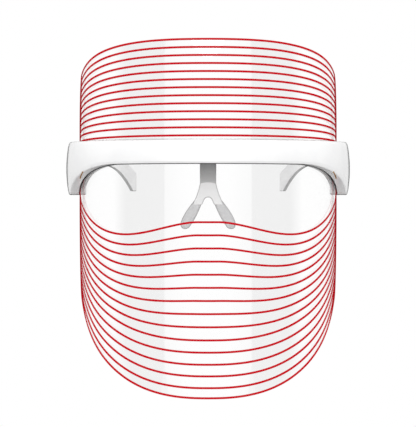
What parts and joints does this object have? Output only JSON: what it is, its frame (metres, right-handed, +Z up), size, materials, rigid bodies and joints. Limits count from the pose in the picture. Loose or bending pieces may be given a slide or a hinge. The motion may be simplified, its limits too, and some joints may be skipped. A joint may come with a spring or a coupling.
{
  "type": "led face mask",
  "caption": "Clear curved face shield with glowing engraved light lines, hung from a white brow band with a nose piece and two folding temple arms.",
  "frame": {"origin": "the nose rest: on the centre plane, midway between the two nose pads, level with the bridge of the nose", "axes": "+X to the right of someone facing the front of the mask, +Y from the front towards the wearer and along the arms, +Z up"},
  "size_m": [0.1978, 0.1759, 0.2333],
  "materials": {
    "white_shell": "high gloss moulded white",
    "clear_sheet": "water-clear polished sheet",
    "engraved_light": "engraved groove lit red from the edge",
    "seal_rubber": "matt black",
    "steel": "plain",
    "frosted_grey": "frosted, slightly translucent",
    "silicone": "translucent silicone",
    "board_green": "solder mask",
    "led_red": "moulded lens",
    "amber_flex": "polyimide film",
    "battery_foil": "pouch foil",
    "switch_black": "moulded"
  },
  "bodies": {
    "band": {"front_shell": "white_shell", "rear_shell": "white_shell", "face_shield": "clear_sheet", "lower_seal": "seal_rubber", "hinge_pin_left": "steel", "hinge_pin_right": "steel", "tact_switch": "switch_black", "main_board": "board_green", "battery": "battery_foil", "charging_port": "steel", "band_cable": "amber_flex", "light_flex_left": "amber_flex", "light_flex_right": "amber_flex", "led_board_left": "board_green", "led_board_right": "board_green", "led_left_1": "led_red", "led_left_2": "led_red", "led_left_3": "led_red", "led_left_4": "led_red", "led_left_5": "led_red", "led_left_6": "led_red", "led_left_7": "led_red", "led_right_1": "led_red", "led_right_2": "led_red", "led_right_3": "led_red", "led_right_4": "led_red", "led_right_5": "led_red", "led_right_6": "led_red", "led_right_7": "led_red", "shell_screw_1": "steel", "shell_screw_2": "steel", "shell_screw_3": "steel", "shell_screw_4": "steel", "shell_screw_5": "steel", "shell_screw_6": "steel"},
    "left_arm": {"arm_left": "white_shell"},
    "right_arm": {"arm_right": "white_shell"},
    "nose_piece": {"nose_bridge": "frosted_grey", "nose_pad_left": "silicone", "nose_pad_right": "silicone"},
    "power_key": {"power_button": "white_shell"}
  },
  "joints": [
    {"name": "left_arm_fold", "type": "hinge", "parent": "band", "child": "left_arm", "pos_m": [-0.0872, 0.0739, 0.0412], "axis": [0, 0, -1], "range_deg": [0, 95]},
    {"name": "right_arm_fold", "type": "hinge", "parent": "band", "child": "right_arm", "pos_m": [0.0872, 0.0739, 0.0412], "axis": [0, 0, 1], "range_deg": [0, 95]},
    {"name": "nose_slide", "type": "slide", "parent": "band", "child": "nose_piece", "axis": [0, 0, 1], "range_m": [-0.006, 0]},
    {"name": "power_press", "type": "slide", "parent": "band", "child": "power_key", "axis": [0, 0, 1], "range_m": [-0.0006, 0], "stiffness_N_per_m": 900}
  ]
}
